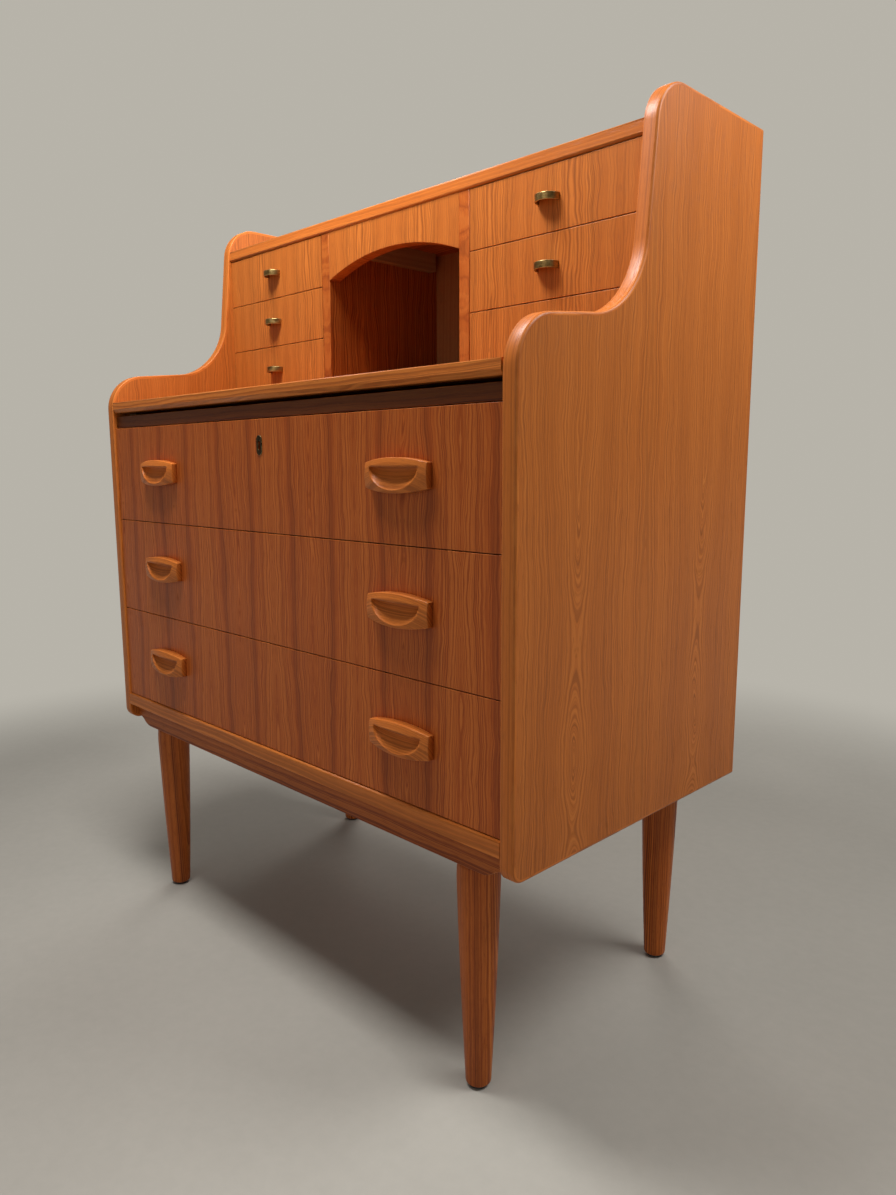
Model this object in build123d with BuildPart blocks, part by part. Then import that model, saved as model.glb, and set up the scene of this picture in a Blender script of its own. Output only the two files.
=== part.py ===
"""Teak secretary desk: carcase on a turned-leg frame, sliding writing leaf, three long drawers with a lock,
and an upper hutch with six small drawers round an arched open niche.

Millimetres. X runs left to right, -Y is the front, +Z is up. The origin is under the middle of the whole
desk, on the floor.
"""

import os

from build123d import *

# ---- driving dimensions -------------------------------------------------------------------------------

WIDTH = 810.0  # over the side panels
DEPTH = 433.0  # side panel, front edge to rear edge
HEIGHT = 1042.0  # top of the side panels
PULL_REACH = 14.0  # how far a wooden pull stands out of its drawer front
FRONT_INSET = 2.5  # drawer fronts lie this far behind the side panels' front edge

SIDE = 17.0  # side panel thickness
TOP_BOARD = 16.0
FLOOR_BOARD = 17.0  # hutch floor, over the leaf
BOTTOM_BOARD = 18.0
DIVIDER = 17.0
LIP = 18.0  # depth of the solid front edge glued to each board
BACK_PLY = 6.0
BACK_REBATE = 6.0  # how deep the back panel is let into each side

PANEL_FOOT = 266.0  # underside of the side panels
BOTTOM_LEVEL = 289.0  # underside of the bottom board
DRAWER_LEVEL = 308.0  # underside of the lowest long drawer front
DRAWER_TOP = 715.0  # top of the highest long drawer front
LEAF_LEVEL = 738.0  # underside of the writing leaf
LEAF = 15.0  # leaf thickness
FLOOR_LEVEL = 754.0  # underside of the hutch floor
TOP_LEVEL = 986.0  # underside of the top board

SHOULDER = 790.0  # height of the shoulder line where it meets the front edge
SHOULDER_RISE = 20.5  # the shoulder climbs this much to the foot of the upper edge
SETBACK = 190.5  # front edge to the foot of the upper edge
LEAN = 23.0  # the upper edge leans back this much from its foot to the top
FOOT_ROUND = 16.0
SHOULDER_ROUND = 52.0
WAIST_ROUND = 92.0
CROWN_ROUND = 50.0
REAR_ROUND = 5.0

HUTCH_SETBACK = 212.5  # front edge of the sides to the faces of the small drawers
NICHE_WIDTH = 258.0
ARCH_RISE = 24.5
ARCH_SPRING = 920.5  # height where the arch meets the dividers
VALANCE = 18.5
CLEAT = (14.0, 180.0, 26.5)

LEG_HEIGHT = 257.5  # legs carry the rails at this height
LEG_SPREAD = 326.0  # leg centres either side of the middle
LEG_FRONT = 38.5  # front edge of the sides to the front leg centres
LEG_REAR = 42.5  # rear edge of the sides to the rear leg centres
LEG_NECK = (22.4, 23.3, 236.0)  # radius at the top, at the fullest point, and that point's height
LEG_ANKLE = 13.9
LEG_SWELL = ((0.05, 1.0), (-0.12, 1.0))  # directions of the neck's curve where it starts and ends
FOOT_ROUNDING = 3.0
GLIDE = (11.0, 3.0)
RAIL = 20.0  # thickness of the base rails
RAIL_SETBACK = 13.0
OGEE = (36.0, 12.5)  # length and height of the shaped rail ends
BEARER = 60.0
LEG_BOLT = (4.0, 56.0)  # radius and length of each leg's hanger bolt

GAP = 1.0  # seam between neighbouring fronts
LONG_FRONT = 18.0  # long drawer front thickness
LONG_SIDE = 12.0
LONG_BOX = (110.0, 393.0)  # height and length of the long drawer sides
LONG_RUNNER = (6.5, 10.0)  # how far a runner stands out of the side, and its height
SMALL_FRONT = 15.0
SMALL_SIDE = 9.0
SMALL_BOX = (60.0, 189.0)
SMALL_RUNNER = (5.0, 7.0)
RUNNER_PLAY = 0.4
BOX_LIFT = 6.0  # drawer boxes start this far above the lower edge of their front
PLY = 4.0  # drawer bottoms

PULL = (92.0, 25.5, 5.0)  # wooden pull: length, height at the ends, and how far top and bottom bow out
PULL_SPREAD = 251.0
PULL_LIFT = 2.5  # pulls sit this far above the middle of their front
POCKET = (72.0, 23.0, 11.0)  # finger pocket: length, height, depth
POCKET_LIFT = 8.5  # straight upper edge of the pocket, over the middle of the pull
CUP = (15.5, 8.0, 1.8)  # brass half-round pull: radius, height, wall

LOCK_CASE = (36.0, 47.0, 12.0)  # width, height, depth
LOCK_BOLT = (24.0, 30.0, 5.0)
LOCK_LET_IN = 8.5  # depth of the lock's housing in the back of the drawer front
KEY_LEVEL = 684.0
KEYHOLE = (2.4, 2.6, 6.0, 11.0)  # round part's radius, width at the neck and at the foot, length
ESCUTCHEON = (12.0, 24.0, 0.8)
BOLT_MORTISE = (28.0, 9.0, 10.0)

LEAF_PLAY = 1.5  # gap at each end of the leaf
LEAF_BACK_GAP = 5.0
LEAF_TRAVEL = 170.0
STOP = (40.0, 20.0, 16.0)
SUPPORT_SETBACK = 6.0
SUPPORT = (20.0, 17.0)  # recessed rail over the top drawer: thickness, height
FINGER_BEVEL = 5.0
LEAF_BEARER = 22.0

SCREW_HEAD = (3.5, 1.0)
SCREW_SHANK = (1.6, 18.0)
SIDE_SCREWS = 5  # screws up each side of the back
ARRIS = 0.6  # small rounding round the drawer fronts
LIP_ROUNDING = 1.8  # on the front edges of the boards
LEAF_ROUNDING = 1.2
PULL_ROUNDING = 2.4

# ---- places that follow from them ---------------------------------------------------------------------

FRONT = -(DEPTH + PULL_REACH - FRONT_INSET) / 2 + PULL_REACH - FRONT_INSET
REAR = FRONT + DEPTH
INNER = WIDTH / 2 - SIDE  # inner face of each side panel
BACK_FACE = REAR - BACK_PLY - SCREW_HEAD[1]  # front face of the back panel
DRAWER_FACE = FRONT + FRONT_INSET
HUTCH_FACE = FRONT + HUTCH_SETBACK
NICHE = NICHE_WIDTH / 2
LEGS = {"front": FRONT + LEG_FRONT, "rear": REAR - LEG_REAR}
FLOOR_TOP = FLOOR_LEVEL + FLOOR_BOARD
LONG_HEIGHT = (DRAWER_TOP - DRAWER_LEVEL - 2 * GAP) / 3
SMALL_HEIGHT = (TOP_LEVEL - FLOOR_TOP - 4 * GAP) / 3
SMALL_WIDTH = INNER - NICHE - DIVIDER - 2 * GAP
SMALL_CENTRE = (INNER + NICHE + DIVIDER) / 2
LONG_NAMES = ("bottom", "middle", "top")
SMALL_NAMES = ("lower", "centre", "upper")
HANDS = {"left": -1, "right": 1}


def long_level(row):
    """Lower edge of a long drawer front, counted from the bottom."""
    return DRAWER_LEVEL + row * (LONG_HEIGHT + GAP)


def small_level(row):
    """Lower edge of a small drawer front, counted from the hutch floor."""
    return FLOOR_TOP + GAP + row * (SMALL_HEIGHT + GAP)


def save(piece, label):
    """Name a finished piece and write its file."""
    piece.part.label = label
    export_step(piece.part, f"parts/{label}.step")


def slab(x, y, z, mode=Mode.ADD):
    """A rectangular piece of the part being built, between a pair of limits on each axis."""
    middle = tuple(sum(limits) / 2 for limits in (x, y, z))
    with Locations(middle):
        Box(x[1] - x[0], y[1] - y[0], z[1] - z[0], mode=mode)


def notch(x, y, z):
    """A rectangular space cut out of the part being built."""
    slab(x, y, z, mode=Mode.SUBTRACT)


def board(label, x, y, z):
    """A plain board."""
    with BuildPart() as piece:
        slab(x, y, z)
    save(piece, label)


# ---- carcase ------------------------------------------------------------------------------------------


def side_panel(hand, sign):
    """Side of the desk, deep below, stepping back in an S to the shallow hutch, with the back's rebate."""
    waist = FRONT + SETBACK
    outline = [
        (REAR, PANEL_FOOT),
        (FRONT, PANEL_FOOT),
        (FRONT, SHOULDER),
        (waist, SHOULDER + SHOULDER_RISE),
        (waist + LEAN, HEIGHT),
        (REAR, HEIGHT),
    ]
    rounds = [REAR_ROUND, FOOT_ROUND, SHOULDER_ROUND, WAIST_ROUND, CROWN_ROUND, REAR_ROUND]
    start = min(sign * INNER, sign * WIDTH / 2)
    rebate = sorted((sign * INNER, sign * (INNER + BACK_REBATE)))
    with BuildPart() as panel:
        with BuildSketch(Plane.YZ.offset(start)):
            with BuildLine():
                FilletPolyline(*outline, radius=rounds, close=True)
            make_face()
        extrude(amount=SIDE)
        notch(rebate, (BACK_FACE, REAR), (BOTTOM_LEVEL, TOP_LEVEL + TOP_BOARD))
    save(panel, f"side_panel_{hand}")


def boards():
    """The level boards and their solid front edges, the hutch uprights and the back."""
    whole = (-INNER, INNER)
    bottom = (BOTTOM_LEVEL, BOTTOM_LEVEL + BOTTOM_BOARD)
    board("bottom_board", whole, (FRONT + LIP, BACK_FACE), bottom)
    with BuildPart() as bottom_lip:
        slab(whole, (FRONT, FRONT + LIP), bottom)
        upper_front = bottom_lip.edges().filter_by(Axis.X).group_by(Axis.Y)[0].sort_by(Axis.Z)[-1]
        chamfer(upper_front, length=LIP_ROUNDING)
    save(bottom_lip, "bottom_lipping")

    board("hutch_floor", whole, (HUTCH_FACE, BACK_FACE), (FLOOR_LEVEL, FLOOR_TOP))

    nose = HUTCH_FACE - 2 * GAP
    top = (TOP_LEVEL, TOP_LEVEL + TOP_BOARD)
    board("top_board", whole, (nose + LIP, BACK_FACE), top)
    with BuildPart() as top_lip:
        slab(whole, (nose, nose + LIP), top)
        front_edges = top_lip.edges().filter_by(Axis.X).group_by(Axis.Y)[0]
        fillet(front_edges, radius=LIP_ROUNDING)
    save(top_lip, "top_lipping")

    for hand, sign in HANDS.items():
        width = sorted((sign * NICHE, sign * (NICHE + DIVIDER)))
        board(f"niche_wall_{hand}", width, (HUTCH_FACE, BACK_FACE), (FLOOR_TOP, TOP_LEVEL))

    back = (-INNER - BACK_REBATE, INNER + BACK_REBATE)
    board("back_panel", back, (BACK_FACE, BACK_FACE + BACK_PLY), (BOTTOM_LEVEL, TOP_LEVEL + TOP_BOARD))


def arch_valance():
    """Board over the niche's mouth with a low segmental arch cut in its lower edge."""
    radius = (NICHE**2 + ARCH_RISE**2) / (2 * ARCH_RISE)
    with BuildPart() as valance:
        slab((-NICHE, NICHE), (HUTCH_FACE, HUTCH_FACE + VALANCE), (ARCH_SPRING, TOP_LEVEL))
        with BuildSketch(Plane.XZ.offset(-HUTCH_FACE)):
            with Locations((0, ARCH_SPRING + ARCH_RISE - radius)):
                Circle(radius)
        extrude(amount=-VALANCE, mode=Mode.SUBTRACT)
    save(valance, "arch_valance")


def niche_cleats():
    """Two battens in the upper corners of the niche, which hold the top board down."""
    thick, length, height = CLEAT
    start = HUTCH_FACE + VALANCE
    with BuildPart() as cleats:
        for sign in HANDS.values():
            width = sorted((sign * (NICHE - thick), sign * NICHE))
            slab(width, (start, start + length), (TOP_LEVEL - height, TOP_LEVEL))
    save(cleats, "niche_cleats")


def support_rail():
    """Recessed rail over the top drawer, with the mortise that the lock's bolt rises into."""
    thick, height = SUPPORT
    face = FRONT + SUPPORT_SETBACK
    foot = DRAWER_TOP + GAP
    width, depth, rise = BOLT_MORTISE
    near = bolt_middle() - depth / 2
    with BuildPart() as rail:
        slab((-INNER, INNER), (face, face + thick), (foot, foot + height))
        notch((-width / 2, width / 2), (near, near + depth), (foot, foot + rise))
    save(rail, "leaf_support_rail")


def leaf_bearers():
    """Strips along both sides, under the ends of the leaf, on which it slides."""
    start = FRONT + SUPPORT_SETBACK + SUPPORT[0]
    foot = DRAWER_TOP + GAP
    with BuildPart() as bearers:
        for sign in HANDS.values():
            width = sorted((sign * (INNER - LEAF_BEARER), sign * INNER))
            slab(width, (start, BACK_FACE), (foot, LEAF_LEVEL - RUNNER_PLAY))
    save(bearers, "leaf_bearers")


def runners():
    """Hardwood strips on the uprights, in the grooves of the drawer sides."""
    reach, height = LONG_RUNNER
    with BuildPart() as long_strips:
        for row in range(3):
            middle = long_level(row) + BOX_LIFT + LONG_BOX[0] / 2
            for sign in HANDS.values():
                width = sorted((sign * (INNER - reach), sign * INNER))
                length = (DRAWER_FACE + LONG_FRONT + BOX_LIFT, BACK_FACE)
                slab(width, length, (middle - height / 2, middle + height / 2))
    save(long_strips, "drawer_runners")

    reach, height = SMALL_RUNNER
    with BuildPart() as small_strips:
        for row in range(3):
            middle = small_level(row) + BOX_LIFT + SMALL_BOX[0] / 2
            for sign in HANDS.values():
                for wall, inward in ((INNER, -1), (NICHE + DIVIDER, 1)):
                    width = sorted((sign * wall, sign * (wall + inward * reach)))
                    length = (HUTCH_FACE + SMALL_FRONT + BOX_LIFT, BACK_FACE)
                    slab(width, length, (middle - height / 2, middle + height / 2))
    save(small_strips, "hutch_runners")


def back_screws():
    """Round-head screws that hold the back panel to the sides, boards and uprights."""
    head_radius, head_height = SCREW_HEAD
    radius, length = SCREW_SHANK
    edge = INNER + BACK_REBATE / 2
    levels = [BOTTOM_LEVEL + BOTTOM_BOARD / 2, FLOOR_LEVEL + FLOOR_BOARD / 2, TOP_LEVEL + TOP_BOARD / 2]
    places = [(x, z) for x in (-INNER / 2, 0, INNER / 2) for z in levels]
    spacing = (TOP_LEVEL - BOTTOM_LEVEL) / SIDE_SCREWS
    side_levels = [BOTTOM_LEVEL + spacing / 2 + step * spacing for step in range(SIDE_SCREWS)]
    places += [(x, z) for x in (-edge, edge) for z in side_levels]
    with BuildPart() as screws:
        with BuildSketch(Plane.XZ.offset(-BACK_FACE - BACK_PLY)):
            with Locations(*places):
                Circle(head_radius)
        extrude(amount=-head_height)
        with BuildSketch(Plane.XZ.offset(-BACK_FACE - BACK_PLY)):
            with Locations(*places):
                Circle(radius)
        extrude(amount=length)
    save(screws, "back_screws")


# ---- base ---------------------------------------------------------------------------------------------


def base_rail(place, near):
    """Cross rail under the carcase with ogee ends, drawn from the middle of its lower edge."""
    length, rise = OGEE
    foot = LEG_HEIGHT
    with BuildPart() as rail:
        with BuildSketch(Plane.XZ.offset(-near)):
            with BuildLine():
                top_left = (-INNER, BOTTOM_LEVEL)
                top_right = (INNER, BOTTOM_LEVEL)
                Polyline((-INNER, foot + rise), top_left, top_right, (INNER, foot + rise))
                Line((-INNER + length, foot), (INNER - length, foot))
                for sign in HANDS.values():
                    middle = (sign * (INNER - length / 2), foot + rise / 2)
                    TangentArc((sign * (INNER - length), foot), middle, tangent=(sign, 0))
                    TangentArc((sign * INNER, foot + rise), middle, tangent=(-sign, 0))
            make_face()
        extrude(amount=-RAIL)
    save(rail, f"base_rail_{place}")


def leg_bearers():
    """Blocks from front to back between the rails, which the legs bolt into."""
    length = (FRONT + RAIL_SETBACK + RAIL, REAR - RAIL_SETBACK - RAIL)
    with BuildPart() as bearers:
        for sign in HANDS.values():
            width = (sign * LEG_SPREAD - BEARER / 2, sign * LEG_SPREAD + BEARER / 2)
            slab(width, length, (LEG_HEIGHT, BOTTOM_LEVEL))
    save(bearers, "leg_bearers")


def leg(place, depth, hand, sign):
    """Turned leg, fullest a little below its top and tapered to a rounded foot.

    It is turned about the Z axis, and the finished leg is then stood in its place.
    """
    top, full, full_level = LEG_NECK
    glide_height = GLIDE[1]
    with BuildPart() as turned:
        with BuildSketch(Plane.XZ):
            with BuildLine():
                Polyline((0, LEG_HEIGHT), (0, glide_height), (LEG_ANKLE, glide_height), (full, full_level))
                Spline((full, full_level), (top, LEG_HEIGHT), tangents=LEG_SWELL)
                Line((top, LEG_HEIGHT), (0, LEG_HEIGHT))
            make_face()
        revolve(axis=Axis.Z)
        fillet(turned.edges().group_by(Axis.Z)[0], radius=FOOT_ROUNDING)
    placed = Pos(sign * LEG_SPREAD, depth, 0) * turned.part
    placed.label = f"leg_{place}_{hand}"
    export_step(placed, f"parts/leg_{place}_{hand}.step")


def leg_hardware():
    """Hanger bolts from the legs into their bearers, and the hard glides under the feet."""
    spots = [(sign * LEG_SPREAD, depth) for sign in HANDS.values() for depth in LEGS.values()]
    radius, length = LEG_BOLT
    with BuildPart() as bolts:
        with BuildSketch(Plane.XY.offset(LEG_HEIGHT - length / 2)):
            with Locations(*spots):
                Circle(radius)
        extrude(amount=length)
    save(bolts, "leg_bolts")

    radius, height = GLIDE
    with BuildPart() as glides:
        with BuildSketch():
            with Locations(*spots):
                Circle(radius)
        extrude(amount=height)
    save(glides, "foot_glides")


# ---- writing leaf -------------------------------------------------------------------------------------


def writing_leaf():
    """Sliding leaf with its solid front edge, bevelled below for the fingers, and its two stops."""
    half = INNER - LEAF_PLAY
    rise = (LEAF_LEVEL, LEAF_LEVEL + LEAF)
    board("leaf_board", (-half, half), (FRONT + LIP, BACK_FACE - LEAF_BACK_GAP), rise)
    with BuildPart() as lip:
        slab((-half, half), (FRONT, FRONT + LIP), rise)
        front_edges = lip.edges().filter_by(Axis.X).group_by(Axis.Y)[0].sort_by(Axis.Z)
        chamfer(front_edges[0], length=FINGER_BEVEL, length2=FINGER_BEVEL / 2)
        fillet(front_edges[-1], radius=LEAF_ROUNDING)
    save(lip, "leaf_lipping")

    width, depth, height = STOP
    near = FRONT + SUPPORT_SETBACK + SUPPORT[0] + LEAF_TRAVEL + RUNNER_PLAY
    with BuildPart() as stops:
        for sign in HANDS.values():
            middle = sign * (INNER - 2 * width)
            across = (middle - width / 2, middle + width / 2)
            slab(across, (near, near + depth), (LEAF_LEVEL - height, LEAF_LEVEL))
    save(stops, "leaf_stops")


# ---- drawers ------------------------------------------------------------------------------------------


def drawer_box(label, middle, half, start, lift, height, length, side, groove):
    """Sides, back and bottom of a drawer as four pieces; both sides are grooved for the runners."""
    reach, groove_height = groove
    groove_foot = lift + (height - groove_height) / 2
    inside = half - side
    with BuildPart() as box:
        for sign in HANDS.values():
            outer = middle + sign * half
            width = sorted((middle + sign * inside, outer))
            slab(width, (start, start + length), (lift, lift + height))
            channel = sorted((outer - sign * reach, outer))
            notch(channel, (start, start + length), (groove_foot, groove_foot + groove_height))
        inner = (middle - inside, middle + inside)
        slab(inner, (start + length - side, start + length), (lift + PLY, lift + height))
        slab(inner, (start, start + length), (lift, lift + PLY))
    save(box, label)


def pocket_outline():
    """Half-round outline of a finger pocket: straight above, an elliptical arc below."""
    length, height, _ = POCKET
    with BuildSketch() as outline:
        with Locations((0, POCKET_LIFT)):
            Ellipse(length / 2, height)
            Rectangle(length, height, align=(Align.CENTER, Align.MAX), mode=Mode.INTERSECT)
    return outline.sketch


def wooden_pulls(name, level):
    """The pair of shaped teak pulls on a long drawer."""
    length, height, bow = PULL
    pocket = pocket_outline()
    half = length / 2
    middle = level + LONG_HEIGHT / 2 + PULL_LIFT
    with BuildPart() as pulls:
        for sign in HANDS.values():
            foot = (sign * PULL_SPREAD, DRAWER_FACE, middle)
            with BuildSketch(Plane(origin=foot, x_dir=(1, 0, 0), z_dir=(0, -1, 0))):
                with BuildLine():
                    ThreePointArc((-half, height / 2), (0, height / 2 + bow), (half, height / 2))
                    Line((half, height / 2), (half, -height / 2))
                    ThreePointArc((half, -height / 2), (0, -height / 2 - bow), (-half, -height / 2))
                    Line((-half, -height / 2), (-half, height / 2))
                make_face()
            extrude(amount=PULL_REACH)
        outer_edges = pulls.edges().group_by(Axis.Y)[0]
        fillet(outer_edges, radius=PULL_ROUNDING)
        for sign in HANDS.values():
            crest = (sign * PULL_SPREAD, DRAWER_FACE - PULL_REACH, middle)
            with BuildSketch(Plane(origin=crest, x_dir=(1, 0, 0), z_dir=(0, -1, 0))):
                add(pocket)
            extrude(amount=-POCKET[2], mode=Mode.SUBTRACT)
    save(pulls, f"drawer_{name}_pulls")


def long_drawer(row, name):
    """One of the three long drawers: front, box and pulls. The top one is housed out for its lock."""
    level = long_level(row)
    half = INNER - GAP
    back = DRAWER_FACE + LONG_FRONT
    keyhole = keyhole_outline()
    with BuildPart() as front:
        slab((-half, half), (DRAWER_FACE, back), (level, level + LONG_HEIGHT))
        fillet(front.faces().sort_by(Axis.Y)[0].edges(), radius=ARRIS)
        if name == "top":
            width, height, _ = LOCK_CASE
            notch((-width / 2, width / 2), (back - LOCK_LET_IN, back), (DRAWER_TOP - height, DRAWER_TOP))
            with BuildSketch(Plane.XZ.offset(-DRAWER_FACE)):
                with Locations((0, KEY_LEVEL)):
                    add(keyhole)
            extrude(amount=-LONG_FRONT, mode=Mode.SUBTRACT)
    save(front, f"drawer_{name}_front")

    reach, height = LONG_RUNNER
    groove = (reach - GAP + RUNNER_PLAY + ARRIS, height + 2 * RUNNER_PLAY)
    box_height, box_length = LONG_BOX
    lift = level + BOX_LIFT
    drawer_box(f"drawer_{name}_box", 0, half, back, lift, box_height, box_length, LONG_SIDE, groove)
    wooden_pulls(name, level)


def brass_cup(label, middle, level):
    """Half-round brass pull, hollow below for a fingertip."""
    radius, height, wall = CUP
    foot = level - height / 2
    outside = (radius, height, Mode.ADD)
    hollow = (radius - wall, height - wall, Mode.SUBTRACT)
    with BuildPart() as cup:
        for size, rise, mode in (outside, hollow):
            with BuildSketch(Plane.XY.offset(foot)):
                with BuildLine():
                    CenterArc((middle, HUTCH_FACE), size, 180, 180)
                    Line((middle - size, HUTCH_FACE), (middle + size, HUTCH_FACE))
                make_face()
            extrude(amount=rise, mode=mode)
    save(cup, label)


def small_drawer(row, name, hand, sign):
    """One of the six hutch drawers: front, box and brass pull."""
    level = small_level(row)
    middle = sign * SMALL_CENTRE
    half = SMALL_WIDTH / 2
    back = HUTCH_FACE + SMALL_FRONT
    label = f"small_drawer_{name}_{hand}"
    with BuildPart() as front:
        slab((middle - half, middle + half), (HUTCH_FACE, back), (level, level + SMALL_HEIGHT))
        fillet(front.faces().sort_by(Axis.Y)[0].edges(), radius=ARRIS)
    save(front, f"{label}_front")

    reach, height = SMALL_RUNNER
    groove = (reach - GAP + RUNNER_PLAY + ARRIS, height + 2 * RUNNER_PLAY)
    box_height, box_length = SMALL_BOX
    lift = level + BOX_LIFT
    drawer_box(f"{label}_box", middle, half, back, lift, box_height, box_length, SMALL_SIDE, groove)
    brass_cup(f"{label}_pull", middle, level + SMALL_HEIGHT / 2)


# ---- lock ---------------------------------------------------------------------------------------------


def bolt_middle():
    """Depth of the lock bolt's centre plane."""
    return DRAWER_FACE + LONG_FRONT - LOCK_LET_IN / 2


def keyhole_outline():
    """A round hole over a slot that widens downwards, about the middle of the keyhole."""
    radius, neck, foot, drop = KEYHOLE
    corners = [(-neck / 2, drop / 2), (neck / 2, drop / 2), (foot / 2, -drop / 2), (-foot / 2, -drop / 2)]
    with BuildSketch() as outline:
        with BuildLine():
            Polyline(*corners, close=True)
        make_face()
        with Locations((0, drop / 2)):
            Circle(radius)
    return outline.sketch


def lock():
    """Case let into the top drawer's front, the bolt that slides up out of it, and the key's escutcheon."""
    width, height, depth = LOCK_CASE
    bolt_width, bolt_height, bolt_depth = LOCK_BOLT
    near = DRAWER_FACE + LONG_FRONT - LOCK_LET_IN
    middle = bolt_middle()
    bolt_x = (-bolt_width / 2, bolt_width / 2)
    play = RUNNER_PLAY / 2
    bolt_top = DRAWER_TOP - ARRIS
    with BuildPart() as case:
        slab((-width / 2, width / 2), (near, near + depth), (DRAWER_TOP - height, DRAWER_TOP))
        channel_x = (bolt_x[0] - play, bolt_x[1] + play)
        channel_y = (middle - bolt_depth / 2 - play, middle + bolt_depth / 2 + play)
        notch(channel_x, channel_y, (bolt_top - bolt_height - play, DRAWER_TOP))
    save(case, "lock_case")

    bolt_y = (middle - bolt_depth / 2, middle + bolt_depth / 2)
    board("lock_bolt", bolt_x, bolt_y, (bolt_top - bolt_height, bolt_top))

    plate_width, plate_height, plate = ESCUTCHEON
    keyhole = keyhole_outline()
    with BuildPart() as escutcheon:
        with BuildSketch(Plane.XZ.offset(-DRAWER_FACE)):
            with Locations((0, KEY_LEVEL)):
                SlotOverall(plate_height, plate_width, rotation=90)
                add(keyhole, mode=Mode.SUBTRACT)
        extrude(amount=plate)
    save(escutcheon, "escutcheon")


# ---- the whole desk -----------------------------------------------------------------------------------

os.makedirs("parts", exist_ok=True)

for hand, sign in HANDS.items():
    side_panel(hand, sign)
boards()
arch_valance()
niche_cleats()
support_rail()
leaf_bearers()
runners()
back_screws()

base_rail("front", FRONT + RAIL_SETBACK)
base_rail("rear", REAR - RAIL_SETBACK - RAIL)
leg_bearers()
for hand, sign in HANDS.items():
    for place, depth in LEGS.items():
        leg(place, depth, hand, sign)
leg_hardware()

writing_leaf()

for row, name in enumerate(LONG_NAMES):
    long_drawer(row, name)
for row, name in enumerate(SMALL_NAMES):
    for hand, sign in HANDS.items():
        small_drawer(row, name, hand, sign)
lock()
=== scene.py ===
import math

import bmesh
import bpy
from mathutils import Matrix, Vector


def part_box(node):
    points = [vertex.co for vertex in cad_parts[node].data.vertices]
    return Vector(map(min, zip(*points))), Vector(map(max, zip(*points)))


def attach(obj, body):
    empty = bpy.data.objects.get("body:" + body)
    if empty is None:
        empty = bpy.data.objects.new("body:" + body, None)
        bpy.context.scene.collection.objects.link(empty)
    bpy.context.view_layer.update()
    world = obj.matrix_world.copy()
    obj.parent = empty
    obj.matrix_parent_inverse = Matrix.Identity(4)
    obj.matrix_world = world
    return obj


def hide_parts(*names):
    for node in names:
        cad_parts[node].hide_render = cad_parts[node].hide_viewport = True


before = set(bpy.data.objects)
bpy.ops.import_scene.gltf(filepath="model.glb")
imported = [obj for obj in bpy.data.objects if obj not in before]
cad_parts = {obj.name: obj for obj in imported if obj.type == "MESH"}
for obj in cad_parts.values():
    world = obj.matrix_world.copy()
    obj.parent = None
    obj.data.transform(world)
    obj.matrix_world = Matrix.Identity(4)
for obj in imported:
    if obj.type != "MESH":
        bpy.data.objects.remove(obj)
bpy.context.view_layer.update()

# ---- sizes, in metres ---------------------------------------------------------------------------------

SIDE_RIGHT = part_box("side_panel_right")
FRONT, REAR = SIDE_RIGHT[0].y, SIDE_RIGHT[1].y
INNER, OUTER = SIDE_RIGHT[0].x, SIDE_RIGHT[1].x  # faces of the right side panel
PANEL_FOOT, PANEL_TOP = SIDE_RIGHT[0].z, SIDE_RIGHT[1].z
BACK_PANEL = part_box("back_panel")
BACK_FACE, REBATE = BACK_PANEL[0].y, BACK_PANEL[1].x  # front of the back panel, and the rebate it lies in
DRAWER_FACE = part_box("drawer_bottom_front")[0].y
HUTCH_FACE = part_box("small_drawer_lower_left_front")[0].y

SHOULDER = 0.790  # where the shoulder line meets the front edge
SHOULDER_RISE = 0.0205  # the shoulder line climbs this much on its way back to the waist
SETBACK = 0.1905  # front edge to the foot of the upper edge
LEAN = 0.023  # the upper edge leans back this much on its way up
FOOT_ROUND, SHOULDER_ROUND, WAIST_ROUND, CROWN_ROUND = 0.016, 0.052, 0.092, 0.050
EDGE_BAND = 0.004  # solid edge glued round each side panel

ARRIS = 0.0006  # rounding of an edge that is only broken with sandpaper
HANDS = {"left": -1, "right": 1}
LONG_NAMES = ("bottom", "middle", "top")
SMALL_NAMES = [f"{level}_{hand}" for level in ("lower", "centre", "upper") for hand in HANDS]
LEG_NAMES = [f"leg_{place}_{hand}" for place in ("front", "rear") for hand in HANDS]


# ---- shapes -------------------------------------------------------------------------------------------


def fresh():
    """An empty shape, whose faces can be marked as worn edges."""
    shape = bmesh.new()
    shape.faces.layers.float.new("arris")
    return shape


def block_of(node):
    """A rectangular shape that fills a CAD node's box."""
    low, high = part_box(node)
    shape = fresh()
    bmesh.ops.create_cube(shape, size=1)
    bmesh.ops.scale(shape, vec=high - low, verts=shape.verts)
    bmesh.ops.translate(shape, vec=(low + high) / 2, verts=shape.verts)
    return shape


def soften(shape, edges, width, segments):
    """Round some edges, and mark the new faces as worn."""
    made = bmesh.ops.bevel(
        shape,
        geom=list(edges),
        offset=width,
        offset_type="OFFSET",
        segments=segments,
        profile=0.5,
        affect="EDGES",
        clamp_overlap=True,
        material=-1,
    )
    worn = shape.faces.layers.float["arris"]
    for face in made["faces"]:
        face.smooth = True
        face[worn] = 1.0


def edges_where(shape, test):
    """Edges whose both ends pass a test."""
    return [edge for edge in shape.edges if all(test(vert.co) for vert in edge.verts)]


def near(value, target, slack=1e-5):
    """True if two numbers are the same but for rounding."""
    return abs(value - target) < slack


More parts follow.
